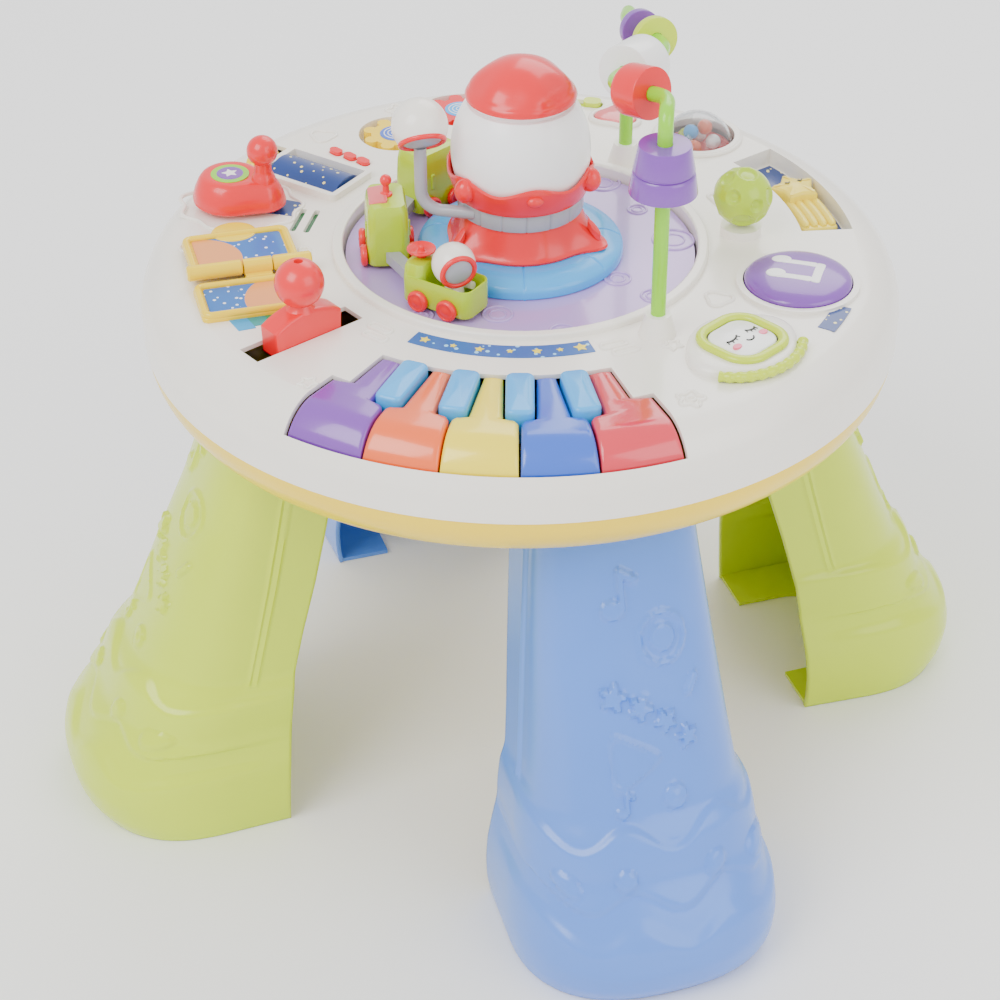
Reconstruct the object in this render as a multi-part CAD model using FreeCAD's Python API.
import FreeCAD, Part
import math
import os

# Musical activity table on four hollow legs, in millimetres, +Z up.
# The origin lies on the floor under the middle of the round top.
# The piano faces -Y. An azimuth is counted in degrees from -Y towards +X.
# A radius is counted from the table's upright axis.

V = FreeCAD.Vector
UP = V(0, 0, 1)

# Shared clearances and walls
WALL = 3.0
THIN_WALL = 2.0
RUN_CLEAR = 0.08
MOVE_CLEAR = 0.5
SEAT_GAP = 0.3
CUT_OVER = 1.0

# Round top
TOP_R = 240.0
RIM_LOW_Z = 317.0
SHOULDER_Z = 331.0
SHOULDER_R = 213.0
DECK_Z = 364.0
LIP_HEIGHT = 4.0
LIP_WIDTH = 7.0
TRAY_R = 239.2
TRAY_BELLY_R = 235.5
TRAY_BELLY_Z = 301.0
TRAY_FLOOR_R = 224.0
TRAY_FLOOR_Z = 288.6

# Turntable in the middle
RECESS_R = 112.0
RECESS_FLOOR_Z = 349.0
DISC_GAP = 1.7
DISC_Z = 360.0
DISC_LOW_Z = RECESS_FLOOR_Z + SEAT_GAP
SPINDLE_R = 18.0
SPINDLE_BORE_R = 14.0

# Tower on the spindle
RING_R = 65.0
RING_TOP_R = 50.0
RING_HEIGHT = 12.7
SKIRT_R = 46.0
SKIRT_HEIGHT = 20.0
NECK_R = 38.0
CORE_R = 30.0
CORE_BORE_R = 26.0
BAND_R = 39.5
BAND_HEIGHT = 11.0
FIN_AZ = (75.0, 195.0, 315.0)
FIN_REACH = 57.0
FIN_WIDTH = 17.0
COLLAR_LOW_R = 41.5
COLLAR_R = 45.8
COLLAR_HEIGHT = 20.0
COLLAR_FLOOR = 3.0
BUMP_R = 8.0
BUMP_COUNT = 6
BUMP_FIRST_AZ = 17.0
GLOBE_R = 43.2
GLOBE_SHOULDER_R = 33.4
GLOBE_SHOULDER_Z = 463.2
GLOBE_NECK_R = 30.5
GLOBE_NECK_Z = 469.5
CAP_R = 34.3
CAP_TOP_Z = 491.0
CAP_TRAVEL = 3.0
CAP_BRIM = 4.0
CAP_DRAFT = 0.6

# Swinging arm with a small helmet
ARM_AZ = -68.0
ARM_R = 64.0
ARM_PIPE_R = 3.6
ARM_START_AZ = -43.5
ARM_BEND_R = 13.0
HELMET_Z = 455.0
HELMET_R = 17.5
HELMET_CUT = 12.0

# Train of three cars on the turntable
CAR_PATH_R = 84.0
CAR_WIDTH = 27.0
CAR_AZ = (-27.0, -78.0, -129.0)
CAR_LENGTH = (50.0, 38.0, 38.0)
CAR_FLOOR = 2.5
CAB_HEIGHT = 43.0
TUB_HEIGHT = 19.0
HOOD_HEIGHT = 27.0
HOOD_LENGTH = 15.0
CAR_ROUND = 3.0
WHEEL_R = 7.0
WHEEL_WIDTH = 4.0
WHEEL_SPREAD = 10.5
COUPLER_WIDTH = 8.0
COUPLER_HEIGHT = 7.0
COUPLER_Z = 366.0
RIDER_HEAD_R = 13.5
DISH_R = 9.0

# Piano
KEY_INNER_R = 157.5
KEY_STEP_R = 192.0
KEY_OUTER_R = 236.0
KEY_INNER_HALF = 25.2
KEY_OUTER_HALF = 29.0
KEY_EDGES = (-16.8, -5.6, 5.6, 16.8)
KEY_GAP = 1.0
KEY_SINK = 1.2
KEY_LOW_Z = 344.0
PRESS_ROOM = 3.8
SMALL_OUTER_R = 201.0
SMALL_WIDTH = 17.0
SMALL_RISE = 4.0
SMALL_GAP = 1.0
KEY_NAMES = ("purple", "orange", "yellow", "blue", "red")
COMB_R0 = KEY_INNER_R - 16.5
COMB_R1 = KEY_INNER_R - 7.5
COMB_LOW_Z = 340.0
HINGE_Z = 350.0
HINGE_R = KEY_INNER_R - 12.0
PIN_R = 1.5
KNUCKLE_R = 3.6
ARM_WIDTH = 6.4
ARM_HEIGHT = 5.0

# Hollow legs: height, inner edge, end of the straight side, outer face, half width
LEG_AZ = {"leg_front": 24.0, "leg_right": 114.0, "leg_rear": 204.0, "leg_left": 294.0}
LEG_SECTIONS = (
    (0.0, 187.0, 236.0, 306.0, 81.0),
    (12.0, 187.0, 236.0, 315.0, 83.0),
    (28.0, 186.5, 236.0, 318.0, 83.5),
    (45.0, 185.0, 233.0, 314.0, 82.0),
    (62.0, 183.0, 228.0, 303.0, 78.0),
    (76.0, 181.0, 224.0, 290.0, 74.0),
    (84.0, 180.0, 222.0, 287.0, 74.0),
    (104.0, 177.0, 216.0, 279.0, 71.0),
    (110.0, 176.0, 213.0, 272.0, 67.5),
    (140.0, 168.0, 205.0, 258.0, 64.0),
    (176.0, 157.0, 196.0, 243.0, 60.0),
    (215.0, 147.0, 187.0, 225.0, 56.0),
    (255.0, 138.0, 178.0, 210.0, 52.0),
    (TRAY_FLOOR_Z, 132.0, 171.0, 198.0, 49.0),
)
LEG_ROUND_POINTS = 9
LEG_CORNER_POWER = 0.8
SOLE = 3.0
ARCH_HALF = 43.0
ARCH_DEPTH = 75.0

# Bead wire: route through its corners, in millimetres
WIRE_R = 4.5
WIRE_FOOT_Z = 352.0
WIRE_FRONT = (92.1, -100.6)
WIRE_REAR = (58.5, 118.2)
WIRE_CORNERS = (
    (92.1, -100.6, 508.0),
    (92.2, -78.0, 508.0),
    (54.4, -43.0, 498.0),
    (87.7, 28.5, 489.0),
    (58.0, 86.0, 480.0),
    (58.5, 118.2, 474.0),
)
SOCKET_R = 11.5
SOCKET_TOP_R = 7.6
SOCKET_HEIGHT = 14.0
BORE_SLACK = 0.1
CORNER_SHARE = 0.40
CORNER_LIMIT = 40.0
CUP_TOP_R = 15.3
CUP_LOW_R = 20.6
CUP_HEIGHT = 31.0
CUP_Z = 459.0
RED_BEAD_R = 16.0
RED_BEAD_LENGTH = 22.0
WHITE_BEAD_R = 17.5
WHITE_BEAD_LENGTH = 30.0
RING_BEAD_WIDTH = 7.0
LIME_RING_R = 14.5
PURPLE_RING_R = 13.0

# Playthings on the deck, each by radius and azimuth
MOON_PLACE = (141.0, 101.7)
MOON_R = 18.7
MOON_Z = 390.0
MOON_STEM_R = 3.0
MOON_COLLAR_R = 13.0
MOON_COLLAR_HEIGHT = 6.0
STAR_R0 = 180.0
STAR_R1 = 213.0
STAR_AZ0 = 101.0
STAR_AZ1 = 133.5
STAR_FLOOR_Z = 352.0
STAR_SLOT_HALF = 3.2
STAR_PIN_R = 2.9
STAR_HEAD_AZ = 119.0
STAR_HEAD_R = 0.5 * (STAR_R1 - STAR_R0) - 1.5
STAR_TAIL_AZ = 104.0
STAR_THICK = 10.0
STAR_TRAVEL = 6.0
NOTE_PLACE = (178.0, 79.4)
NOTE_R = 33.5
NOTE_TRAVEL = 3.0
NOTE_RIM = 4.5
NOTE_RIM_HEIGHT = 2.5
NOTE_TOP_Z = 373.0
FACE_PLACE = (182.0, 51.6)
FACE_SIZE = 34.0
FACE_FRAME = 45.0
FACE_ROUND = 11.0
FACE_TRAVEL = 2.0
FACE_BASE_HEIGHT = 5.0
FACE_BASE_U = 31.0
FACE_BASE_V = 39.0
FACE_FRAME_HEIGHT = 3.5
HOSE_R = 3.0
HOSE_PATH_R = 36.0
HOSE_HALF = 42.0
HOSE_RIBS = 9
RATTLE_PLACE = (190.0, 146.5)
RATTLE_R = 25.0
RATTLE_Z = 357.0
RATTLE_WALL = 1.6
AXLE_R = 3.0
LUG_THICK = 4.0
LUG_R = 6.5
LEVER_PLACE = (171.0, -44.0)
LEVER_R = 44.5
LEVER_Z = 338.5
LEVER_WIDTH = 17.0
LEVER_SPAN = 70.0
LEVER_BALL_R = 15.0
LEVER_BALL_Z = 399.0
LEVER_NECK_R = 6.5
LEVER_HOLE_R = 2.5
BOOK_AZ = -69.0
BOOK_U0 = 134.0
BOOK_U1 = 212.0
BOOK_HINGE_Z = 373.0
BARREL_R = 4.75
LEAF_U0 = 140.0
LEAF_U1 = 208.0
LEAF_REACH = 49.0
LEAF_THICK = 4.5
LEAF_LOW_Z = 366.6
TAB_R = 12.0
PAGE_REACH = 42.0
PAGE_THICK = 4.0
KNUCKLE_U0 = 159.0
KNUCKLE_U1 = 177.0
CRANK_PLACE = (191.5, -99.3)
CRANK_LOW_Z = 367.5
CRANK_HEIGHT = 20.0
CRANK_BIG_R = 25.0
CRANK_BIG_U = 2.0
CRANK_SMALL_R = 14.0
CRANK_SMALL_U = -21.0
CRANK_BALL_R = 10.0
CRANK_BALL_Z = 406.0
CRANK_POST_R = 5.0
CRANK_POST_HEIGHT = 16.0
ROLLER_PLACE = (163.0, -117.5)
ROLLER_R = 20.0
ROLLER_Z = 351.0
ROLLER_LENGTH = 55.0
ROLLER_FRAME_U = 66.0
ROLLER_FRAME_V = 44.0
ROLLER_FRAME_HEIGHT = 4.5
THUMB_R = 22.0
THUMB_WIDTH = 8.0
THUMB_U = 40.0
MODE_PLACES = ((174.0, -129.1), (162.0, -129.7), (150.6, -130.3))
MODE_LONG = 10.0
MODE_SHORT = 6.0
MODE_RISE = 2.5
MODE_TRAVEL = 1.5
GEAR_PLACES = {"yellow_gear": (173.6, -145.2), "red_gear": (193.0, -162.0)}
GEAR_TIP_R = 23.0
GEAR_ROOT_R = 17.0
GEAR_LOBES = 8
GEAR_THICK = 10.0
GEAR_WELL_R = 25.5
GEAR_WELL_Z = 354.0
GEAR_POST_R = 4.0
TAB_PLACE = (203.0, 172.8)
TAB_SLOT_LONG = 25.0
TAB_SLOT_SHORT = 11.0
TAB_LONG = 12.0
TAB_SHIFT = 5.0
SPEAKER_PLACE = (141.0, -96.0)
SPEAKER_R = 19.0
SPEAKER_DEEP = 14.0
SLOT_LONG = 30.0
SLOT_WIDE = 4.0
SLOT_PITCH = 9.0

# Inside and underneath
BOSS_R = 5.0
BOSS_PATH_R = 124.0
BOSS_AZ = (0.0, 84.0, 176.0, 288.0)
SCREW_R = 1.6
SCREW_HEAD_R = 3.2
SCREW_HEAD_HEIGHT = 2.0
LEG_SCREW_U = 160.0
LEG_SCREW_V = 28.0
DOOR_LENGTH = 76.0
DOOR_WIDTH = 62.0
DOOR_THICK = 2.5
BATTERY_R = 7.2
BATTERY_LENGTH = 50.0
BATTERY_COUNT = 3
BOX_DEEP = 18.0
BOARD_SIZE = (90.0, 60.0, 1.6)
BOARD_PLACE = (-20.0, 70.0)
BOARD_POST = 8.0
SWITCH_PLACE = (0.0, -75.0)
SWITCH_LONG = 14.0
SWITCH_WIDE = 6.0
SWITCH_SHIFT = 5.0
LAMP_BOARD_R = 18.0

os.makedirs("parts", exist_ok=True)


def save(name, shape):
    """Write one node, and say how many solids and how much volume it has."""
    shape.exportStep("parts/" + name + ".step")
    print(name, len(shape.Solids), round(shape.Volume), shape.isValid())


def polar(radius, azimuth, z=0.0):
    """A point by its radius and azimuth from -Y towards +X."""
    angle = math.radians(azimuth)
    return V(radius * math.sin(angle), -radius * math.cos(angle), z)


def place(shape, radius, azimuth, z=0.0):
    """Turn a shape made with +X outward and move it to its radius and azimuth."""
    moved = shape.copy()
    moved.rotate(V(0, 0, 0), UP, azimuth - 90.0)
    moved.translate(polar(radius, azimuth, z))
    return moved


def cylinder(radius, low, high, x=0.0, y=0.0):
    return Part.makeCylinder(radius, high - low, V(x, y, low))


def tube(outer, inner, low, high, x=0.0, y=0.0):
    return cylinder(outer, low, high, x, y).cut(cylinder(inner, low - CUT_OVER, high + CUT_OVER, x, y))


def box(x0, x1, y0, y1, z0, z1):
    return Part.makeBox(x1 - x0, y1 - y0, z1 - z0, V(x0, y0, z0))


def lathe(points):
    """Turn a closed polygon of radius and height round the upright axis."""
    corners = [V(r, 0, z) for r, z in points]
    face = Part.Face(Part.makePolygon(corners + corners[:1]))
    return face.revolve(V(0, 0, 0), UP, 360)


def lathe_edges(edges):
    return Part.Face(Part.Wire(Part.sortEdges(edges)[0])).revolve(V(0, 0, 0), UP, 360)


def line(a, b):
    return Part.LineSegment(V(a[0], 0, a[1]), V(b[0], 0, b[1])).toShape()


def bow(a, b, c):
    return Part.Arc(V(a[0], 0, a[1]), V(b[0], 0, b[1]), V(c[0], 0, c[1])).toShape()


def sector(r0, r1, az0, az1, z0, z1):
    """A block between two radii and two azimuths round the table's axis."""
    middle = 0.5 * (az0 + az1)
    edges = [
        Part.Arc(polar(r0, az0, z0), polar(r0, middle, z0), polar(r0, az1, z0)).toShape(),
        Part.LineSegment(polar(r0, az1, z0), polar(r1, az1, z0)).toShape(),
        Part.Arc(polar(r1, az1, z0), polar(r1, middle, z0), polar(r1, az0, z0)).toShape(),
        Part.LineSegment(polar(r1, az0, z0), polar(r0, az0, z0)).toShape(),
    ]
    return Part.Face(Part.Wire(edges)).extrude(V(0, 0, z1 - z0))


def round_block(length, width, radius, z0, z1, x=0.0, y=0.0):
    """An upright block with round corners, its middle at x, y."""
    block = box(x - length / 2, x + length / 2, y - width / 2, y + width / 2, z0, z1)
    radius = min(radius, 0.49 * min(length, width))
    if radius < 0.1:
        return block
    upright = [e for e in block.Edges if abs(e.tangentAt(e.FirstParameter).z) > 0.9]
    return block.makeFillet(radius, upright)


def soften(shape, radius, pick):
    """Round the edges that pick(edge) chooses."""
    edges = [e for e in shape.Edges if pick(e)]
    return shape.makeFillet(radius, edges)


def at_height(z):
    return lambda e: abs(e.BoundBox.ZMin - z) < 1e-3 and abs(e.BoundBox.ZMax - z) < 1e-3


def bar(radius, start, end):
    run = end.sub(start)
    return Part.makeCylinder(radius, run.Length, start, run)


def deck_body(drop):
    """Everything under the deck's outer surface, lowered and drawn in by drop."""
    top = DECK_Z - drop
    reach = TOP_R - drop
    low = RIM_LOW_Z - (CUT_OVER if drop else 0.0)
    half = math.sqrt(0.5)
    bend = (SHOULDER_R + half * (reach - SHOULDER_R), SHOULDER_Z + half * (top - SHOULDER_Z))
    return lathe_edges([
        line((0, low), (reach, low)),
        line((reach, low), (reach, SHOULDER_Z)),
        bow((reach, SHOULDER_Z), bend, (SHOULDER_R, top)),
        line((SHOULDER_R, top), (0, top)),
        line((0, top), (0, low)),
    ])


def piano_outline(grow, z0, z1):
    """The stepped outline of the piano, grown by a clearance."""
    turn = math.degrees(grow / KEY_STEP_R)
    inner = sector(KEY_INNER_R - grow, KEY_STEP_R + CUT_OVER,
                   -KEY_INNER_HALF - turn, KEY_INNER_HALF + turn, z0, z1)
    outer = sector(KEY_STEP_R - grow, KEY_OUTER_R + grow,
                   -KEY_OUTER_HALF - turn, KEY_OUTER_HALF + turn, z0, z1)
    return inner.fuse(outer)


def lug(side, z, axle, reach):
    """A hanging plate with a round bore for an axle along the tangent."""
    plate = box(-LUG_R, LUG_R, 0, LUG_THICK, z, DECK_Z - WALL + CUT_OVER)
    eye = Part.makeCylinder(LUG_R, LUG_THICK, V(0, 0, z), V(0, 1, 0))
    bore = Part.makeCylinder(axle, LUG_THICK + 2 * CUT_OVER, V(0, -CUT_OVER, z), V(0, 1, 0))
    made = plate.fuse(eye).cut(bore)
    made.translate(V(0, reach if side > 0 else -reach - LUG_THICK, 0))
    return made


def frame_ring(length, width, radius, wall, z0, z1):
    outside = round_block(length, width, radius, z0, z1)
    inside = round_block(length - 2 * wall, width - 2 * wall, radius - wall, z0 - CUT_OVER, z1 + CUT_OVER)
    return outside.cut(inside)


def well(radius, floor):
    """A round pocket hung under the deck: its cut and its cup."""
    cup = tube(radius + THIN_WALL, radius, floor - THIN_WALL, DECK_Z - THIN_WALL)
    cup = cup.fuse(cylinder(radius + THIN_WALL, floor - THIN_WALL, floor))
    return cylinder(radius, floor, DECK_Z + LIP_HEIGHT), cup


def top_shell():
    """White round top: deck, shoulder, recess for the turntable and every pocket."""
    under = DECK_Z - WALL
    shell = deck_body(0.0).cut(deck_body(WALL))
    lip = tube(RECESS_R + LIP_WIDTH, RECESS_R, DECK_Z - WALL, DECK_Z + LIP_HEIGHT)
    lip = soften(lip, WALL / 2, at_height(DECK_Z + LIP_HEIGHT))
    recess = tube(RECESS_R + WALL, RECESS_R, RECESS_FLOOR_Z - WALL, DECK_Z)
    floor = cylinder(RECESS_R + WALL, RECESS_FLOOR_Z - WALL, RECESS_FLOOR_Z)
    adds = [lip, recess, floor]
    cuts = [piano_outline(KEY_GAP, KEY_LOW_Z - PRESS_ROOM, DECK_Z + CUT_OVER)]
    shell = shell.cut(cylinder(RECESS_R, under - CUT_OVER, DECK_Z + LIP_HEIGHT))
    for azimuth in BOSS_AZ:
        boss = cylinder(BOSS_R, TRAY_FLOOR_Z + WALL, under + CUT_OVER)
        adds.append(place(boss.cut(cylinder(SCREW_R, TRAY_FLOOR_Z, TRAY_FLOOR_Z + 14)), BOSS_PATH_R, azimuth))
    for radius, azimuth in GEAR_PLACES.values():
        hole, cup = well(GEAR_WELL_R, GEAR_WELL_Z)
        post = cylinder(GEAR_POST_R, GEAR_WELL_Z - THIN_WALL, GEAR_WELL_Z + GEAR_THICK - 2)
        cuts.append(place(hole, radius, azimuth))
        adds.append(place(cup, radius, azimuth))
        adds.append(place(post, radius, azimuth))
    star = star_well()
    cuts.append(star[0])
    adds.append(star[1])
    note_rim = tube(NOTE_R + NOTE_RIM, NOTE_R + MOVE_CLEAR, under, DECK_Z + NOTE_RIM_HEIGHT)
    adds.append(place(note_rim, *NOTE_PLACE))
    cuts.append(place(cylinder(NOTE_R + MOVE_CLEAR, under - 1, DECK_Z + 9), *NOTE_PLACE))
    window = FACE_SIZE + 2 * MOVE_CLEAR
    cuts.append(place(round_block(window, window, FACE_ROUND, under - 1, DECK_Z + 1), *FACE_PLACE))
    rattle_rim = tube(RATTLE_R + 4, RATTLE_R + MOVE_CLEAR, under, DECK_Z + 2.5)
    cuts.append(place(cylinder(RATTLE_R + MOVE_CLEAR, under - 1, DECK_Z + 9), *RATTLE_PLACE))
    adds.append(place(rattle_rim, *RATTLE_PLACE))
    for side in (-1, 1):
        reach = RATTLE_R + MOVE_CLEAR
        adds.append(place(lug(side, RATTLE_Z, AXLE_R, reach), *RATTLE_PLACE))
        adds.append(place(lug(side, LEVER_Z, AXLE_R + RUN_CLEAR, LEVER_WIDTH / 2 + MOVE_CLEAR), *LEVER_PLACE))
    slot_half = math.sqrt(LEVER_R ** 2 - (under - LEVER_Z) ** 2) + MOVE_CLEAR
    width = LEVER_WIDTH / 2 + MOVE_CLEAR
    cuts.append(place(box(-slot_half, slot_half, -width, width, under - 1, DECK_Z + 1), *LEVER_PLACE))
    adds.append(place(cylinder(CRANK_POST_R, under, DECK_Z + CRANK_POST_HEIGHT), *CRANK_PLACE))
    adds.append(place(cylinder(CRANK_POST_R + 9, under, CRANK_LOW_Z - SEAT_GAP), *CRANK_PLACE))
    frame = frame_ring(ROLLER_FRAME_U, ROLLER_FRAME_V, 4.0, 4.0, under, DECK_Z + ROLLER_FRAME_HEIGHT)
    adds.append(place(frame, *ROLLER_PLACE))
    mouth = round_block(ROLLER_FRAME_U - 8, ROLLER_FRAME_V - 8, 1.5, under - 1, DECK_Z + 9)
    cuts.append(place(mouth, *ROLLER_PLACE))
    thumb = box(THUMB_U - 1, THUMB_U + THUMB_WIDTH + 1, -THUMB_R, THUMB_R, under - 1, DECK_Z + 1)
    cuts.append(place(thumb, *ROLLER_PLACE))
    for side in (-1, 1):
        end = ROLLER_LENGTH / 2 + MOVE_CLEAR
        adds.append(place(roller_lug(side * end, side), *ROLLER_PLACE))
    for radius, azimuth in MODE_PLACES:
        hole = round_block(MODE_LONG + 1, MODE_SHORT + 1, 3.4, under - 1, DECK_Z + 1)
        cuts.append(place(hole, radius, azimuth))
    slot = round_block(TAB_SLOT_SHORT, TAB_SLOT_LONG, 5.0, under - 1, DECK_Z + 1)
    cuts.append(place(slot, *TAB_PLACE))
    for side in (-1, 1):
        gap = round_block(SLOT_WIDE, SLOT_LONG, 1.9, under - 1, DECK_Z + 1, side * SLOT_PITCH / 2)
        cuts.append(place(gap, *SPEAKER_PLACE))
    collar = cylinder(MOON_COLLAR_R, under, DECK_Z + MOON_COLLAR_HEIGHT)
    adds.append(place(collar, *MOON_PLACE))
    cuts.append(place(cylinder(MOON_STEM_R + RUN_CLEAR, under - 9, DECK_Z + 9), *MOON_PLACE))
    for x, y in (WIRE_FRONT, WIRE_REAR):
        adds.append(cylinder(SOCKET_R - 2, WIRE_FOOT_Z - WALL, under + 1, x, y))
        cuts.append(cylinder(WIRE_R, WIRE_FOOT_Z, DECK_Z + 1, x, y))
    cuts.append(cylinder(SPINDLE_R, RECESS_FLOOR_Z - WALL - 1, RECESS_FLOOR_Z + 1))
    posts = [place(cylinder(GEAR_POST_R, GEAR_WELL_Z - 1, GEAR_WELL_Z + GEAR_THICK - 2), r, a)
             for r, a in GEAR_PLACES.values()]
    keep = [place(cylinder(CRANK_POST_R, under, DECK_Z + CRANK_POST_HEIGHT), *CRANK_PLACE)]
    shell = shell.fuse(adds).cut(cuts).fuse(posts + keep)
    return shell.removeSplitter()


def roller_lug(u, side):
    """End plate that holds one stub axle of the picture roller."""
    low = box(0, LUG_THICK, -LUG_R, LUG_R, ROLLER_Z, DECK_Z - WALL + 1)
    eye = Part.makeCylinder(LUG_R, LUG_THICK, V(0, 0, ROLLER_Z), V(1, 0, 0))
    bore = Part.makeCylinder(AXLE_R + RUN_CLEAR, LUG_THICK + 2, V(-1, 0, ROLLER_Z), V(1, 0, 0))
    made = low.fuse(eye).cut(bore)
    made.translate(V(u if side > 0 else u - LUG_THICK, 0, 0))
    return made


def star_well():
    """Long curved pocket for the star, with a slot in its floor for the guide pin."""
    turn = math.degrees(THIN_WALL / STAR_R1)
    cut = sector(STAR_R0, STAR_R1, STAR_AZ0, STAR_AZ1, STAR_FLOOR_Z, DECK_Z + 1)
    cup = sector(STAR_R0 - THIN_WALL, STAR_R1 + THIN_WALL, STAR_AZ0 - turn, STAR_AZ1 + turn,
                 STAR_FLOOR_Z - THIN_WALL, DECK_Z - WALL)
    middle = 0.5 * (STAR_R0 + STAR_R1)
    slack = math.degrees((STAR_PIN_R + MOVE_CLEAR) / middle)
    slot = sector(middle - STAR_SLOT_HALF, middle + STAR_SLOT_HALF, STAR_HEAD_AZ - slack,
                  STAR_HEAD_AZ + STAR_TRAVEL + slack, STAR_FLOOR_Z - 9, STAR_FLOOR_Z + 1)
    return cut.fuse(slot), cup


def base_tray():
    """Yellow lower shell that closes the top and carries the legs and the batteries."""
    def body(drop):
        high = RIM_LOW_Z + (CUT_OVER if drop else 0.0)
        return lathe_edges([
            line((0, high), (TRAY_R - drop, high)),
            bow((TRAY_R - drop, high), (TRAY_BELLY_R - drop, TRAY_BELLY_Z),
                (TRAY_FLOOR_R - drop, TRAY_FLOOR_Z + drop)),
            line((TRAY_FLOOR_R - drop, TRAY_FLOOR_Z + drop), (0, TRAY_FLOOR_Z + drop)),
            line((0, TRAY_FLOOR_Z + drop), (0, high)),
        ])
    tray = body(0.0).cut(body(WALL))
    floor = TRAY_FLOOR_Z + WALL
    bay = frame_ring(DOOR_LENGTH + 2 * THIN_WALL, DOOR_WIDTH + 2 * THIN_WALL, 4.0, THIN_WALL,
                     TRAY_FLOOR_Z, floor + BOX_DEEP)
    roof = round_block(DOOR_LENGTH, DOOR_WIDTH, 2.0, floor + BOX_DEEP - THIN_WALL, floor + BOX_DEEP)
    tray = tray.fuse([bay, roof])
    tray = tray.cut(round_block(DOOR_LENGTH, DOOR_WIDTH, 2.0, TRAY_FLOOR_Z - 1, floor + 1))
    x, y = BOARD_PLACE
    for dx in (-1, 1):
        post = cylinder(3.0, TRAY_FLOOR_Z + 1, floor + BOARD_POST, x + dx * (BOARD_SIZE[0] / 2 - 5), y)
        tray = tray.fuse(post)
    for azimuth in BOSS_AZ:
        hole = cylinder(SCREW_R, TRAY_FLOOR_Z - 1, floor + 1)
        head = cylinder(SCREW_HEAD_R, TRAY_FLOOR_Z - 1, TRAY_FLOOR_Z + SCREW_HEAD_HEIGHT)
        tray = tray.cut(place(hole.fuse(head), BOSS_PATH_R, azimuth))
    for azimuth in LEG_AZ.values():
        for side in (-1, 1):
            hole = cylinder(SCREW_R, TRAY_FLOOR_Z - 1, floor + 1, LEG_SCREW_U, side * LEG_SCREW_V)
            tray = tray.cut(place(hole, 0.0, azimuth))
    x, y = SWITCH_PLACE
    slot = round_block(SWITCH_LONG + SWITCH_SHIFT + 1, SWITCH_WIDE + 1, 2.0, TRAY_FLOOR_Z - 1, floor + 1,
                       x + SWITCH_SHIFT / 2, y)
    return tray.cut(slot).removeSplitter()


def leg_wire(section, inset, open_by):
    """One level of the leg: straight sides and a round outer face."""
    z, inner, side, outer, half = section
    half = half - inset
    outer = outer - inset
    points = []
    for step in range(LEG_ROUND_POINTS):
        angle = math.pi * (step / (LEG_ROUND_POINTS - 1) - 0.5)
        u = side + (outer - side) * math.cos(angle) ** LEG_CORNER_POWER if 0 < step < LEG_ROUND_POINTS - 1 else side
        v = half * math.copysign(abs(math.sin(angle)) ** LEG_CORNER_POWER, math.sin(angle))
        points.append(V(u, v, z))
    nose = Part.BSplineCurve()
    nose.interpolate(points)
    a = V(inner - open_by, -half, z)
    b = V(inner - open_by, half, z)
    return Part.Wire([
        Part.LineSegment(b, a).toShape(),
        Part.LineSegment(a, points[0]).toShape(),
        nose.toShape(),
        Part.LineSegment(points[-1], b).toShape(),
    ])


def leg():
    """Hollow leg, open towards the middle: a shell, a sole with an arch and a top plate."""
    outside = Part.makeLoft([leg_wire(s, 0.0, 0.0) for s in LEG_SECTIONS], True, True)
    levels = [list(s) for s in LEG_SECTIONS]
    levels[0][0] = SOLE
    levels[-1][0] = TRAY_FLOOR_Z - WALL
    inside = Part.makeLoft([leg_wire(s, WALL, 3 * WALL) for s in levels], True, True)
    arch_end = LEG_SECTIONS[0][1] + ARCH_DEPTH - ARCH_HALF
    arch = cylinder(ARCH_HALF, -1, SOLE + 1, arch_end, 0)
    arch = arch.fuse(box(0, arch_end, -ARCH_HALF, ARCH_HALF, -1, SOLE + 1))
    shell = outside.cut(inside).cut(arch)
    for side in (-1, 1):
        hole = cylinder(SCREW_R, TRAY_FLOOR_Z - WALL - 1, TRAY_FLOOR_Z + 1, LEG_SCREW_U, side * LEG_SCREW_V)
        shell = shell.cut(hole)
    return shell


def screws():
    """Case screws in the four bosses and leg screws in the top plates."""
    made = []
    for azimuth in BOSS_AZ:
        head = cylinder(SCREW_HEAD_R, TRAY_FLOOR_Z, TRAY_FLOOR_Z + SCREW_HEAD_HEIGHT)
        shaft = cylinder(SCREW_R, TRAY_FLOOR_Z, TRAY_FLOOR_Z + 13)
        made.append(place(head.fuse(shaft), BOSS_PATH_R, azimuth))
    for azimuth in LEG_AZ.values():
        for side in (-1, 1):
            low = TRAY_FLOOR_Z - WALL
            head = cylinder(SCREW_HEAD_R, low - SCREW_HEAD_HEIGHT, low, LEG_SCREW_U, side * LEG_SCREW_V)
            shaft = cylinder(SCREW_R, low - 1, TRAY_FLOOR_Z + WALL, LEG_SCREW_U, side * LEG_SCREW_V)
            made.append(place(head.fuse(shaft), 0.0, azimuth))
    return Part.makeCompound(made)


def hinge_arm(azimuth, reach_r):
    """Tongue of a key that reaches its hinge pin, in the key's own direction."""
    made = box(HINGE_R, reach_r, -ARM_WIDTH / 2, ARM_WIDTH / 2, HINGE_Z - ARM_HEIGHT / 2, HINGE_Z + ARM_HEIGHT / 2)
    eye = Part.makeCylinder(KNUCKLE_R, ARM_WIDTH, V(HINGE_R, -ARM_WIDTH / 2, HINGE_Z), V(0, 1, 0))
    bore = Part.makeCylinder(PIN_R + RUN_CLEAR, ARM_WIDTH + 2, V(HINGE_R, -ARM_WIDTH / 2 - 1, HINGE_Z), V(0, 1, 0))
    return place(made.fuse(eye).cut(bore), 0.0, azimuth)


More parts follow.
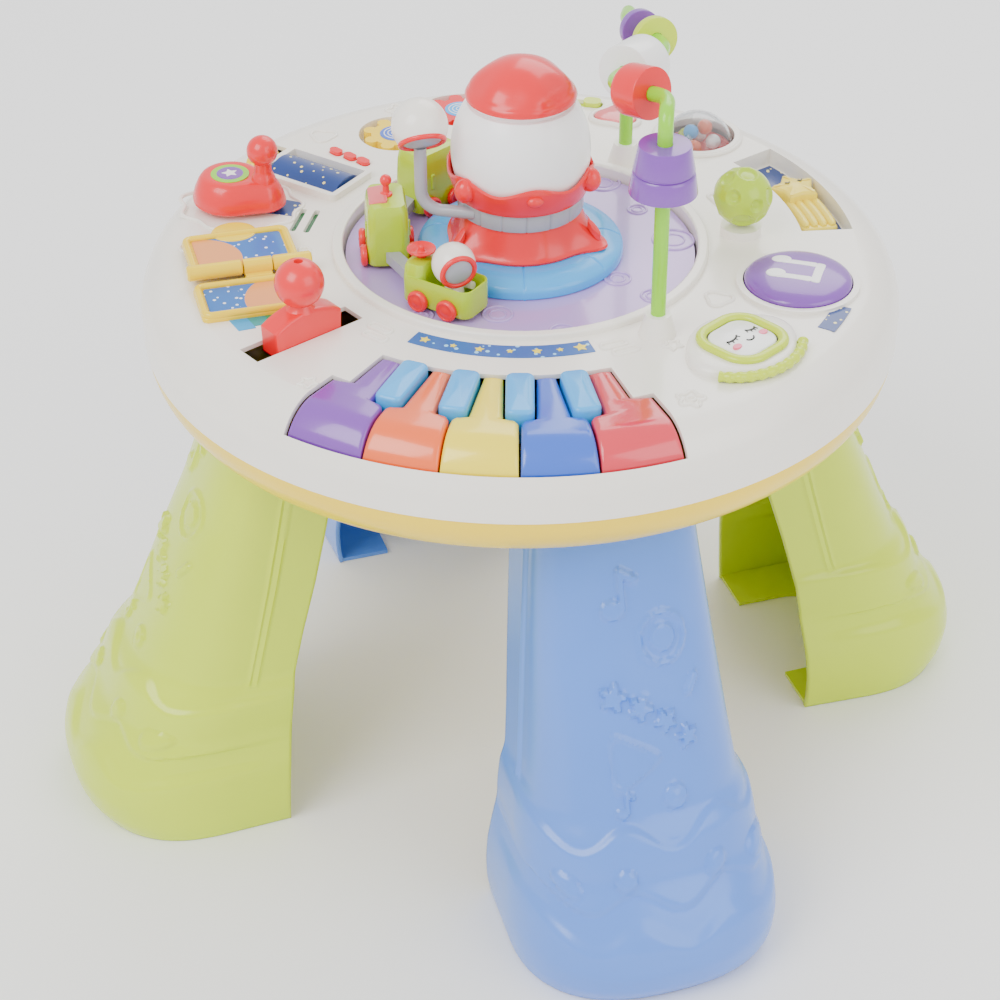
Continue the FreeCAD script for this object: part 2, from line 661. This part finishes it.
def small_outline(azimuth, grow, z0, z1):
    length = SMALL_OUTER_R - KEY_INNER_R + 2 * grow + (0 if grow == 0 else 10)
    middle = 0.5 * (SMALL_OUTER_R + KEY_INNER_R) - (0 if grow == 0 else 5)
    block = round_block(length, SMALL_WIDTH + 2 * grow, 4.0, z0, z1, middle)
    return place(block, 0.0, azimuth)


def big_key(index):
    """One broad key: bent over the shoulder, cut away beside the small keys."""
    edges = (-KEY_OUTER_HALF,) + KEY_EDGES + (KEY_OUTER_HALF,)
    low, high = edges[index], edges[index + 1]
    trim = math.degrees(KEY_GAP / 2 / SMALL_OUTER_R)
    block = sector(KEY_INNER_R, KEY_OUTER_R, low + trim, high - trim, KEY_LOW_Z, DECK_Z + 1)
    block = block.common(piano_outline(0.0, KEY_LOW_Z, DECK_Z + 1))
    for azimuth in KEY_EDGES:
        block = block.cut(small_outline(azimuth, SMALL_GAP, KEY_LOW_Z - 1, DECK_Z + 2))
    block = block.common(deck_body(KEY_SINK))
    middle = 0.5 * (low + high)
    if index == 0:
        middle = 0.5 * (-KEY_INNER_HALF + high)
    if index == len(edges) - 2:
        middle = 0.5 * (low + KEY_INNER_HALF)
    return block.fuse(hinge_arm(middle, KEY_INNER_R + 2)), middle


def small_key(azimuth):
    block = small_outline(azimuth, 0.0, KEY_LOW_Z + 2, DECK_Z + SMALL_RISE)
    block = soften(block, 1.8, at_height(DECK_Z + SMALL_RISE))
    return block.fuse(hinge_arm(azimuth, KEY_INNER_R + 2))


def key_comb(middles):
    """Curved rib under the deck with a slot and a steel pin for each key."""
    half = KEY_INNER_HALF + 2
    rib = sector(COMB_R0, COMB_R1, -half, half, COMB_LOW_Z, DECK_Z - WALL)
    pins = []
    for azimuth in middles:
        slot = box(COMB_R0 - 2, COMB_R1 + 2, -ARM_WIDTH / 2 - 0.4, ARM_WIDTH / 2 + 0.4,
                   HINGE_Z - 6, HINGE_Z + 6)
        rib = rib.cut(place(slot, 0.0, azimuth))
        length = ARM_WIDTH + 4.4
        pin = Part.makeCylinder(PIN_R, length, V(HINGE_R, -length / 2, HINGE_Z), V(0, 1, 0))
        pin = place(pin, 0.0, azimuth)
        pins.append(pin)
    return rib.fuse(pins)


def tower():
    """Fixed parts on the spindle: blue ring, red base, collar, lamp globe."""
    spindle = tube(SPINDLE_R, SPINDLE_BORE_R, RECESS_FLOOR_Z - WALL, DISC_Z + SEAT_GAP)
    low = DISC_Z + SEAT_GAP
    top = low + RING_HEIGHT
    ring = lathe([(SPINDLE_BORE_R, low), (RING_R, low), (RING_R, low + 3), (RING_TOP_R, top), (SPINDLE_BORE_R, top)])
    neck = top + SKIRT_HEIGHT - SEAT_GAP
    core_top = top + SKIRT_HEIGHT + BAND_HEIGHT + SEAT_GAP
    base = lathe([(CORE_BORE_R, top), (SKIRT_R, top), (SKIRT_R - 2, top + 6), (NECK_R, neck),
                  (CORE_R, neck), (CORE_R, core_top), (CORE_BORE_R, core_top)])
    for azimuth in FIN_AZ:
        fin = box(NECK_R - 6, FIN_REACH, -FIN_WIDTH / 2, FIN_WIDTH / 2, top, neck - 1)
        wedge = Part.Face(Part.makePolygon([V(NECK_R - 9, 0, neck + 9), V(NECK_R - 4, 0, neck - 1),
                                            V(FIN_REACH, 0, top + 7), V(FIN_REACH + 9, 0, top + 7),
                                            V(FIN_REACH + 9, 0, neck + 9), V(NECK_R - 9, 0, neck + 9)]))
        wedge.translate(V(0, -FIN_WIDTH, 0))
        base = base.fuse(place(fin.cut(wedge.extrude(V(0, 2 * FIN_WIDTH, 0))), 0.0, azimuth))
    base = base.cut(cylinder(CORE_BORE_R, top - 1, core_top + 1))
    high = core_top + COLLAR_HEIGHT
    inner = COLLAR_R - THIN_WALL
    collar = lathe([(0, core_top), (COLLAR_LOW_R, core_top), (COLLAR_R, high), (inner, high),
                    (COLLAR_LOW_R - THIN_WALL, core_top + COLLAR_FLOOR), (0, core_top + COLLAR_FLOOR)])
    for count in range(BUMP_COUNT):
        azimuth = BUMP_FIRST_AZ + count * 360.0 / BUMP_COUNT
        bump = Part.makeSphere(BUMP_R, polar(COLLAR_R - 2, azimuth, high - 7))
        collar = collar.fuse(bump.cut(cylinder(COLLAR_R - 2.5, 0, CAP_TOP_Z)))
    seat = core_top + COLLAR_FLOOR
    start = COLLAR_LOW_R - THIN_WALL - 1.5
    def skin(inset):
        return lathe_edges([
            line((0, seat), (start - inset, seat)),
            bow((start - inset, seat), (GLOBE_R - inset, 436.0), (GLOBE_SHOULDER_R - inset, GLOBE_SHOULDER_Z - inset)),
            line((GLOBE_SHOULDER_R - inset, GLOBE_SHOULDER_Z - inset), (GLOBE_NECK_R - inset, GLOBE_SHOULDER_Z - inset)),
            line((GLOBE_NECK_R - inset, GLOBE_SHOULDER_Z - inset), (GLOBE_NECK_R - inset, GLOBE_NECK_Z - inset)),
            line((GLOBE_NECK_R - inset, GLOBE_NECK_Z - inset), (0, GLOBE_NECK_Z - inset)),
            line((0, GLOBE_NECK_Z - inset), (0, seat)),
        ])
    globe = skin(0.0).cut(skin(THIN_WALL)).cut(cylinder(start - THIN_WALL, seat - 1, seat + 1))
    board = cylinder(LAMP_BOARD_R, seat, seat + 1.6).fuse(cylinder(3.0, seat + 1.6, seat + 9))
    return spindle, ring, base, collar, globe, board, top + SKIRT_HEIGHT


def dome_arc(radius, low, top):
    """Arc of a round cap that meets the upright axis square at its top."""
    rise = top - low
    ball = (radius * radius + rise * rise) / (2 * rise)
    half = math.asin(min(1.0, radius / ball)) / 2
    return bow((radius, low), (ball * math.sin(half), top - ball * (1 - math.cos(half))), (0, top))


def cap():
    """Red dome that is pressed down; it slides on the globe's neck."""
    low = GLOBE_SHOULDER_Z + CAP_TRAVEL + SEAT_GAP
    bore = GLOBE_NECK_R + SEAT_GAP
    brim = low + CAP_BRIM
    ceiling = GLOBE_NECK_Z + CAP_TRAVEL + SEAT_GAP
    side = CAP_R - CAP_DRAFT
    return lathe_edges([
        line((bore, low), (CAP_R, low)),
        line((CAP_R, low), (side, brim)),
        dome_arc(side, brim, CAP_TOP_Z),
        line((0, CAP_TOP_Z), (0, ceiling)),
        line((0, ceiling), (bore, ceiling)),
        line((bore, ceiling), (bore, low)),
    ])


def arm(low):
    """Grey band that turns on the core, with the pipe that carries the small helmet."""
    band = tube(BAND_R, CORE_R + RUN_CLEAR, low, low + BAND_HEIGHT)
    z = low + BAND_HEIGHT / 2
    start = polar(BAND_R - 3, ARM_START_AZ, z)
    foot = polar(ARM_R, ARM_AZ, z)
    run = foot.sub(start)
    run.normalize()
    bend = foot.sub(run * ARM_BEND_R)
    rise = foot.add(UP * ARM_BEND_R)
    middle = foot.sub(run * ARM_BEND_R).add(UP * ARM_BEND_R)
    knee = middle.add((run - UP) * (ARM_BEND_R * math.sqrt(0.5)))
    path = Part.Wire([Part.LineSegment(start, bend).toShape(), Part.Arc(bend, knee, rise).toShape(),
                      Part.LineSegment(rise, polar(ARM_R, ARM_AZ, HELMET_Z - HELMET_R + 3)).toShape()])
    ring = Part.Wire(Part.makeCircle(ARM_PIPE_R, start, run))
    pipe = path.makePipeShell([ring], True, False)
    pipe = pipe.cut(cylinder(CORE_R + 3, low - 9, low + 40))
    head = Part.makeSphere(HELMET_R, polar(ARM_R, ARM_AZ, HELMET_Z))
    face = Part.makeBox(60, 60, 30, V(-30, -30, HELMET_CUT))
    face.rotate(V(0, 0, 0), V(0, 1, 0), 138)
    face.rotate(V(0, 0, 0), UP, -70)
    face.translate(polar(ARM_R, ARM_AZ, HELMET_Z))
    head = head.cut(face)
    return band.fuse(pipe).cut(head), head


def car(index):
    """A car body: two closed cabs, and a front car with a hood and an open tub."""
    length = CAR_LENGTH[index]
    low = DISC_Z + CAR_FLOOR
    if index:
        body = round_block(CAR_WIDTH, length, CAR_ROUND, DISC_Z, low + CAB_HEIGHT - 2)
        body = soften(body, CAR_ROUND - 0.5, at_height(low + CAB_HEIGHT - 2))
    else:
        body = round_block(CAR_WIDTH, length, CAR_ROUND, DISC_Z, low + TUB_HEIGHT)
        hood = box(-CAR_WIDTH / 2, CAR_WIDTH / 2, -length / 2 + 1, -length / 2 + HOOD_LENGTH, low, low + HOOD_HEIGHT)
        hood = soften(hood, 2.4, at_height(low + HOOD_HEIGHT))
        tub = box(-CAR_WIDTH / 2 + 2, CAR_WIDTH / 2 - 2, -length / 2 + HOOD_LENGTH + 1, length / 2 - 2.5,
                  low + 4, low + 90)
        body = body.fuse(hood).cut(tub)
    return place(body, CAR_PATH_R, CAR_AZ[index])


def train_trim():
    """Red wheels on both sides of each car, the dish and the knob."""
    made = []
    for index, azimuth in enumerate(CAR_AZ):
        for along in (-1, 1):
            for side in (-1, 1):
                wheel = Part.makeCylinder(WHEEL_R, WHEEL_WIDTH, V(0, 0, 0), V(1, 0, 0))
                x = CAR_WIDTH / 2 if side > 0 else -CAR_WIDTH / 2 - WHEEL_WIDTH
                wheel.translate(V(x, along * WHEEL_SPREAD, DISC_Z + WHEEL_R))
                made.append(place(wheel, CAR_PATH_R, azimuth))
    hood = DISC_Z + CAR_FLOOR + HOOD_HEIGHT
    y = -CAR_LENGTH[0] / 2 + HOOD_LENGTH / 2
    dish = Part.makeCone(3.0, DISH_R, 5.0, V(0, y, hood)).fuse(Part.makeSphere(2.2, V(0, y, hood + 6)))
    made.append(place(dish, CAR_PATH_R, CAR_AZ[0]))
    roof = DISC_Z + CAR_FLOOR + CAB_HEIGHT - 2
    knob = cylinder(2.0, roof, roof + 9).fuse(Part.makeSphere(3.6, V(0, 0, roof + 10)))
    made.append(place(knob, CAR_PATH_R, CAR_AZ[1]))
    return Part.makeCompound(made)


def couplers():
    made = []
    for index in (0, 1):
        rear = CAR_AZ[index] - math.degrees(CAR_LENGTH[index] / 2 / CAR_PATH_R) * 0.97
        front = CAR_AZ[index + 1] + math.degrees(CAR_LENGTH[index + 1] / 2 / CAR_PATH_R) * 0.97
        a = polar(CAR_PATH_R, rear, COUPLER_Z)
        b = polar(CAR_PATH_R, front, COUPLER_Z)
        run = b.sub(a)
        block = box(-1, run.Length + 1, -COUPLER_WIDTH / 2, COUPLER_WIDTH / 2, 0, COUPLER_HEIGHT)
        block.rotate(V(0, 0, 0), UP, math.degrees(math.atan2(run.y, run.x)))
        block.translate(a)
        made.append(block.cut(car(index)).cut(car(index + 1)))
    return Part.makeCompound(made)


def rider():
    """Small astronaut who sits in the tub; the helmet is one round ball."""
    low = DISC_Z + CAR_FLOOR + 4
    y = 6.0
    body = cylinder(7.0, low, low + 14, 0, y)
    head = Part.makeSphere(RIDER_HEAD_R, V(0, y, low + 14 + RIDER_HEAD_R - 3))
    head = head.cut(box(-40, 40, y + RIDER_HEAD_R - 4, y + 40, low, low + 60))
    legs = box(-5, 5, y + 4, y + 13, low, low + 5)
    return place(body.fuse([head, legs]), CAR_PATH_R, CAR_AZ[0])


def wire():
    """Bead wire: straight runs and arcs through its corners."""
    corners = [V(*WIRE_FRONT, WIRE_FOOT_Z)] + [V(*p) for p in WIRE_CORNERS] + [V(*WIRE_REAR, WIRE_FOOT_Z)]
    edges = []
    last = corners[0]
    for a, b, c in zip(corners, corners[1:], corners[2:]):
        back = a.sub(b)
        ahead = c.sub(b)
        reach = CORNER_SHARE * min(back.Length, ahead.Length, CORNER_LIMIT)
        back.normalize()
        ahead.normalize()
        enter = b.add(back * reach)
        leave = b.add(ahead * reach)
        half = back.getAngle(ahead) / 2
        mid_way = back.add(ahead)
        mid_way.normalize()
        middle = b.add(mid_way * (reach / math.cos(half) - reach * math.tan(half)))
        edges += [Part.LineSegment(last, enter).toShape(), Part.Arc(enter, middle, leave).toShape()]
        last = leave
    edges.append(Part.LineSegment(last, corners[-1]).toShape())
    path = Part.Wire(edges)
    made = path.makePipeShell([Part.Wire(Part.makeCircle(WIRE_R, corners[0], UP))], True, False)
    print("wire volume ratio", made.Volume / (math.pi * WIRE_R ** 2 * path.Length))
    return made


def bead(radius, width, index, share):
    """A round bead threaded on one run of the wire; share is its place along the run."""
    a = V(*WIRE_CORNERS[index])
    b = V(*WIRE_CORNERS[index + 1])
    run = b.sub(a)
    centre = a.add(run * share)
    run.normalize()
    start = centre.sub(run * (width / 2))
    body = Part.makeCylinder(radius, width, start, run)
    return body.cut(Part.makeCylinder(WIRE_R + BORE_SLACK, width + 20, start.sub(run * 10), run))


def gear():
    """Thick wheel with round lobes and a bore for its post."""
    body = cylinder(GEAR_ROOT_R, GEAR_WELL_Z + SEAT_GAP, GEAR_WELL_Z + GEAR_THICK)
    lobe_r = 4.6
    for count in range(GEAR_LOBES):
        angle = 2 * math.pi * count / GEAR_LOBES
        reach = GEAR_TIP_R - lobe_r
        body = body.fuse(cylinder(lobe_r, GEAR_WELL_Z + SEAT_GAP, GEAR_WELL_Z + GEAR_THICK,
                                  reach * math.cos(angle), reach * math.sin(angle)))
    return body.cut(cylinder(GEAR_POST_R + RUN_CLEAR, GEAR_WELL_Z - 1, GEAR_WELL_Z + GEAR_THICK - 1.7))


def axle_y(radius, length, z):
    return Part.makeCylinder(radius, length, V(0, -length / 2, z), V(0, 1, 0))


def axle_x(radius, length, z, x=0.0):
    return Part.makeCylinder(radius, length, V(x - length / 2, 0, z), V(1, 0, 0))


def playthings():
    """Everything on the deck that is pressed, turned, slid or swung."""
    under = DECK_Z - WALL
    moon = Part.makeSphere(MOON_R, V(0, 0, MOON_Z))
    moon = moon.fuse(cylinder(MOON_STEM_R, under - 3, MOON_Z))
    moon = moon.fuse(cylinder(MOON_STEM_R + 2, under - 5, under - SEAT_GAP))
    save("moon_ball", place(moon, *MOON_PLACE))
    middle = 0.5 * (STAR_R0 + STAR_R1)
    floor = STAR_FLOOR_Z + SEAT_GAP
    star = place(cylinder(STAR_HEAD_R, floor, floor + STAR_THICK), middle, STAR_HEAD_AZ)
    star = star.fuse(sector(STAR_R0 + 4, STAR_R1 - 4, STAR_TAIL_AZ, STAR_HEAD_AZ, floor, floor + STAR_THICK - 2))
    pin = cylinder(STAR_PIN_R, STAR_FLOOR_Z - 5, floor + 1).fuse(
        cylinder(STAR_PIN_R + 2, STAR_FLOOR_Z - 6, STAR_FLOOR_Z - THIN_WALL - SEAT_GAP))
    save("star_slider", star.fuse(place(pin, middle, STAR_HEAD_AZ)))
    disc = cylinder(NOTE_R, under - 5, DECK_Z + NOTE_RIM_HEIGHT)
    dome_low = DECK_Z + NOTE_RIM_HEIGHT
    dome = lathe_edges([line((0, dome_low), (NOTE_R, dome_low)),
                        dome_arc(NOTE_R, dome_low, NOTE_TOP_Z),
                        line((0, NOTE_TOP_Z), (0, dome_low))])
    flange = cylinder(NOTE_R + 2, under - 5, under - 2 * SEAT_GAP)
    save("note_button", place(disc.fuse([dome, flange]), *NOTE_PLACE))
    top = DECK_Z + FACE_BASE_HEIGHT
    base = round_block(2 * FACE_BASE_U, 2 * FACE_BASE_V, 26.0, DECK_Z, top)
    base = soften(base, 3.0, at_height(top))
    window = FACE_SIZE + 2 * MOVE_CLEAR
    base = base.cut(round_block(window, window, FACE_ROUND, DECK_Z - 1, top + 1))
    save("helmet_base", place(base, *FACE_PLACE))
    frame = round_block(FACE_FRAME, FACE_FRAME, FACE_ROUND + 4, top, top + FACE_FRAME_HEIGHT)
    frame = frame.cut(round_block(window, window, FACE_ROUND, top - 1, top + 9))
    step = HOSE_HALF * 2 / (HOSE_RIBS - 1)
    links = [axle_y(HOSE_R, 2 * HOSE_HALF, DECK_Z + HOSE_R)]
    for count in range(HOSE_RIBS):
        rib = axle_y(HOSE_R + 0.6, step * 0.7, DECK_Z + HOSE_R)
        rib.translate(V(0, -HOSE_HALF + count * step, 0))
        links.append(rib)
    hose = links[0].fuse(links[1:]).cut(box(-9, 9, -90, 90, 0, DECK_Z))
    hose.translate(V(HOSE_PATH_R, 0, 0))
    hose = hose.common(box(0, 90, -HOSE_HALF, HOSE_HALF, 0, 900))
    hose = hose.cut(base)
    save("helmet_trim", place(Part.makeCompound([frame] + list(hose.Solids)), *FACE_PLACE))
    face = round_block(FACE_SIZE, FACE_SIZE, FACE_ROUND, under - 4, top + 2)
    face = soften(face, 1.5, at_height(top + 2))
    face = face.fuse(round_block(FACE_SIZE + 6, FACE_SIZE + 6, FACE_ROUND, under - 4, under - SEAT_GAP))
    save("face_button", place(face, *FACE_PLACE))


def rattle():
    """Hollow drum ball that rolls on two stub axles below the deck."""
    ball = Part.makeSphere(RATTLE_R, V(0, 0, RATTLE_Z)).cut(Part.makeSphere(RATTLE_R - RATTLE_WALL, V(0, 0, RATTLE_Z)))
    stubs = axle_y(AXLE_R - RUN_CLEAR, 2 * (RATTLE_R + LUG_THICK), RATTLE_Z)
    stubs = stubs.cut(Part.makeSphere(RATTLE_R - RATTLE_WALL, V(0, 0, RATTLE_Z)))
    beads = [Part.makeSphere(4.0, V(x, y, RATTLE_Z - RATTLE_R + RATTLE_WALL + 4.9)) for x, y in ((0, 4.4), (0, -4.4))]
    return Part.makeCompound([ball.fuse(stubs)] + beads)


def lever():
    """Red curved slider-lever: a sector on a cross pin with a ball on a neck."""
    drum = axle_y(LEVER_R, LEVER_WIDTH, LEVER_Z)
    span = math.radians(LEVER_SPAN)
    reach = 3 * LEVER_R
    fan = Part.Face(Part.makePolygon([
        V(0, 0, LEVER_Z - 8), V(reach * math.sin(span), 0, LEVER_Z + reach * math.cos(span)),
        V(0, 0, LEVER_Z + 2 * reach), V(-reach * math.sin(span), 0, LEVER_Z + reach * math.cos(span)),
        V(0, 0, LEVER_Z - 8)]))
    fan.translate(V(0, -LEVER_WIDTH, 0))
    drum = drum.common(fan.extrude(V(0, 2 * LEVER_WIDTH, 0)))
    crest = LEVER_Z + LEVER_R
    neck = Part.makeCone(LEVER_NECK_R + 2, LEVER_NECK_R, LEVER_BALL_Z - crest, V(0, 0, crest - 1))
    ball = Part.makeSphere(LEVER_BALL_R, V(0, 0, LEVER_BALL_Z))
    hole = cylinder(LEVER_HOLE_R, LEVER_BALL_Z + LEVER_BALL_R - 4, LEVER_BALL_Z + LEVER_BALL_R + 1)
    pin = axle_y(AXLE_R, LEVER_WIDTH + 2 * (MOVE_CLEAR + LUG_THICK), LEVER_Z)
    return place(drum.fuse([neck, ball, pin]).cut(hole), *LEVER_PLACE)


def book():
    """Fixed yellow page with a hinge knuckle, and the leaf that turns over it."""
    high = LEAF_LOW_Z + LEAF_THICK
    page = box(BOOK_U0 + 4, BOOK_U1 - 2, BARREL_R + 1, BARREL_R + PAGE_REACH, DECK_Z, DECK_Z + PAGE_THICK)
    bridge = box(KNUCKLE_U0, KNUCKLE_U1, 0, BARREL_R + 2, DECK_Z, BOOK_HINGE_Z)
    knuckle = axle_x(BARREL_R, KNUCKLE_U1 - KNUCKLE_U0, BOOK_HINGE_Z, 0.5 * (KNUCKLE_U0 + KNUCKLE_U1))
    bore = axle_x(PIN_R + RUN_CLEAR, 90, BOOK_HINGE_Z, 0.5 * (KNUCKLE_U0 + KNUCKLE_U1))
    page = page.fuse([bridge, knuckle]).cut(bore)
    leaf = box(LEAF_U0, LEAF_U1, -LEAF_REACH, -2, LEAF_LOW_Z, high)
    tab = cylinder(TAB_R, LEAF_LOW_Z, high - 1, 0.5 * (LEAF_U0 + LEAF_U1), -LEAF_REACH)
    barrel = axle_x(BARREL_R, BOOK_U1 - BOOK_U0, BOOK_HINGE_Z, 0.5 * (BOOK_U0 + BOOK_U1))
    leaf = leaf.fuse([tab, barrel])
    leaf = leaf.cut(box(KNUCKLE_U0 - 0.4, KNUCKLE_U1 + 0.4, -BARREL_R - 0.5, 9, 0, 900))
    pin = axle_x(PIN_R, KNUCKLE_U1 - KNUCKLE_U0 + 8, BOOK_HINGE_Z, 0.5 * (KNUCKLE_U0 + KNUCKLE_U1))
    return place(leaf.fuse(pin), 0.0, BOOK_AZ), place(page, 0.0, BOOK_AZ)


def crank():
    """Red pick-shaped crank on a post, with a ball grip."""
    high = CRANK_LOW_Z + CRANK_HEIGHT
    big = cylinder(CRANK_BIG_R, CRANK_LOW_Z, high, CRANK_BIG_U)
    small = cylinder(CRANK_SMALL_R, CRANK_LOW_Z, high, CRANK_SMALL_U)
    span = CRANK_BIG_U - CRANK_SMALL_U
    lean = math.asin((CRANK_BIG_R - CRANK_SMALL_R) / span)
    corners = [V(CRANK_BIG_U - CRANK_BIG_R * math.sin(lean), s * CRANK_BIG_R * math.cos(lean), CRANK_LOW_Z) for s in (1, -1)]
    corners += [V(CRANK_SMALL_U - CRANK_SMALL_R * math.sin(lean), s * CRANK_SMALL_R * math.cos(lean), CRANK_LOW_Z)
                for s in (-1, 1)]
    web = Part.Face(Part.makePolygon(corners + corners[:1])).extrude(V(0, 0, CRANK_HEIGHT))
    body = big.fuse([small, web]).removeSplitter()
    body = soften(body, 7.0, at_height(high))
    neck = cylinder(5.5, high - 1, CRANK_BALL_Z, CRANK_SMALL_U)
    ball = Part.makeSphere(CRANK_BALL_R, V(CRANK_SMALL_U, 0, CRANK_BALL_Z))
    bore = cylinder(CRANK_POST_R + RUN_CLEAR, CRANK_LOW_Z - 1, DECK_Z + CRANK_POST_HEIGHT + SEAT_GAP)
    return place(body.fuse([neck, ball]).cut(bore), *CRANK_PLACE)


def roller():
    drum = axle_x(ROLLER_R, ROLLER_LENGTH, ROLLER_Z)
    axle = axle_x(AXLE_R, THUMB_U + THUMB_WIDTH + ROLLER_LENGTH / 2 + 5, ROLLER_Z,
                  0.5 * (THUMB_U + THUMB_WIDTH - ROLLER_LENGTH / 2 - 5))
    thumb = axle_x(THUMB_R - 2, THUMB_WIDTH, ROLLER_Z, THUMB_U + THUMB_WIDTH / 2)
    return place(drum.fuse([axle, thumb]), *ROLLER_PLACE)


def electronics():
    """Circuit board, lamp board, loudspeaker and three cells."""
    x, y = BOARD_PLACE
    low = TRAY_FLOOR_Z + WALL + BOARD_POST
    length, width, thick = BOARD_SIZE
    board = box(x - length / 2, x + length / 2, y - width / 2, y + width / 2, low, low + thick)
    under = DECK_Z - WALL
    speaker = place(cylinder(SPEAKER_R, under - SPEAKER_DEEP, under), *SPEAKER_PLACE)
    cells = []
    for count in range(BATTERY_COUNT):
        y = (count - 1) * 2.2 * BATTERY_R
        cells.append(axle_x(BATTERY_R, BATTERY_LENGTH, TRAY_FLOOR_Z + DOOR_THICK + BATTERY_R, 0.0))
        cells[-1].translate(V(0, y, 0))
    return [board, speaker] + cells


save("top_shell", top_shell())
save("base_tray", base_tray())
leg_shape = leg()
for leg_name, leg_azimuth in LEG_AZ.items():
    save(leg_name, place(leg_shape, 0.0, leg_azimuth))
save("battery_door", round_block(DOOR_LENGTH - 1, DOOR_WIDTH - 1, 2.0, TRAY_FLOOR_Z, TRAY_FLOOR_Z + DOOR_THICK))
save("case_screws", screws())
switch_x, switch_y = SWITCH_PLACE
knob = round_block(SWITCH_LONG, SWITCH_WIDE, 2.0, TRAY_FLOOR_Z - 2, TRAY_FLOOR_Z + WALL + 1, switch_x, switch_y)
slide = box(switch_x - SWITCH_LONG, switch_x + SWITCH_LONG, switch_y - SWITCH_WIDE, switch_y + SWITCH_WIDE,
            TRAY_FLOOR_Z + WALL + SEAT_GAP, TRAY_FLOOR_Z + WALL + 3)
save("power_switch", knob.fuse(slide))

spindle, ring, base, collar, globe, lamp, band_z = tower()
save("electronics", Part.makeCompound(electronics() + [lamp]))
save("spindle", spindle)
save("sky_ring", ring)
save("tower_base", base)
save("tower_collar", collar)
save("lamp_globe", globe)
save("tower_cap", cap())
arm_band, arm_helmet = arm(band_z)
save("arm_band", arm_band)
save("arm_helmet", arm_helmet)
save("turntable", tube(RECESS_R - DISC_GAP, SPINDLE_R + RUN_CLEAR, DISC_LOW_Z, DISC_Z))
for car_index, car_name in enumerate(("car_front", "car_middle", "car_rear")):
    save(car_name, car(car_index))
save("train_trim", train_trim())
save("couplers", couplers())
save("rider", rider())

key_middles = []
for key_index, key_name in enumerate(KEY_NAMES):
    key_shape, key_middle = big_key(key_index)
    key_middles.append(key_middle)
    save("key_" + key_name, key_shape)
for key_index, key_azimuth in enumerate(KEY_EDGES):
    save("small_key_" + str(key_index + 1), small_key(key_azimuth))
save("key_comb", key_comb(key_middles + list(KEY_EDGES)))
print("key middles", key_middles)

wire_shape = wire()
save("bead_wire", wire_shape)
socket = [Part.makeCone(SOCKET_R, SOCKET_TOP_R, SOCKET_HEIGHT, V(x, y, DECK_Z)).cut(
    cylinder(WIRE_R, DECK_Z - 1, DECK_Z + SOCKET_HEIGHT + 1, x, y)) for x, y in (WIRE_FRONT, WIRE_REAR)]
save("wire_sockets", Part.makeCompound(socket))
cup_x, cup_y = WIRE_FRONT
cup = Part.makeCone(CUP_LOW_R, CUP_TOP_R, CUP_HEIGHT, V(cup_x, cup_y, CUP_Z))
save("purple_bead", cup.cut(cylinder(WIRE_R + BORE_SLACK, CUP_Z - 1, CUP_Z + CUP_HEIGHT + 1, cup_x, cup_y)))
save("red_bead", bead(RED_BEAD_R, RED_BEAD_LENGTH, 1, 0.46))
save("white_bead", bead(WHITE_BEAD_R, WHITE_BEAD_LENGTH, 2, 0.46))
save("lime_ring", bead(LIME_RING_R, RING_BEAD_WIDTH, 3, 0.33))
save("purple_ring", bead(PURPLE_RING_R, RING_BEAD_WIDTH, 3, 0.68))

playthings()
save("rattle", place(rattle(), *RATTLE_PLACE))
save("lever", lever())
leaf_shape, page_shape = book()
save("book_leaf", leaf_shape)
save("book_page", page_shape)
save("crank", crank())
save("picture_roller", roller())
for mode_index, mode_place in enumerate(MODE_PLACES):
    mode = round_block(MODE_LONG, MODE_SHORT, 2.9, DECK_Z - WALL - 3, DECK_Z + MODE_RISE)
    flange = round_block(MODE_LONG + 1.2, MODE_SHORT + 4, 3.0, DECK_Z - WALL - 3, DECK_Z - WALL - SEAT_GAP)
    save("mode_button_" + str(mode_index + 1), place(mode.fuse(flange), *mode_place))
for gear_name, gear_place in GEAR_PLACES.items():
    save(gear_name, place(gear(), *gear_place))
tab_knob = round_block(TAB_SLOT_SHORT - 1, TAB_LONG, 4.0, DECK_Z - WALL - 1, DECK_Z + 3, 0, -TAB_SHIFT)
tab_plate = box(-0.7 * TAB_SLOT_SHORT, 0.7 * TAB_SLOT_SHORT, -TAB_LONG - TAB_SHIFT - 5, TAB_LONG - TAB_SHIFT + 5,
                DECK_Z - WALL - 3, DECK_Z - WALL - SEAT_GAP)
save("slide_tab", place(tab_knob.fuse(tab_plate), *TAB_PLACE))
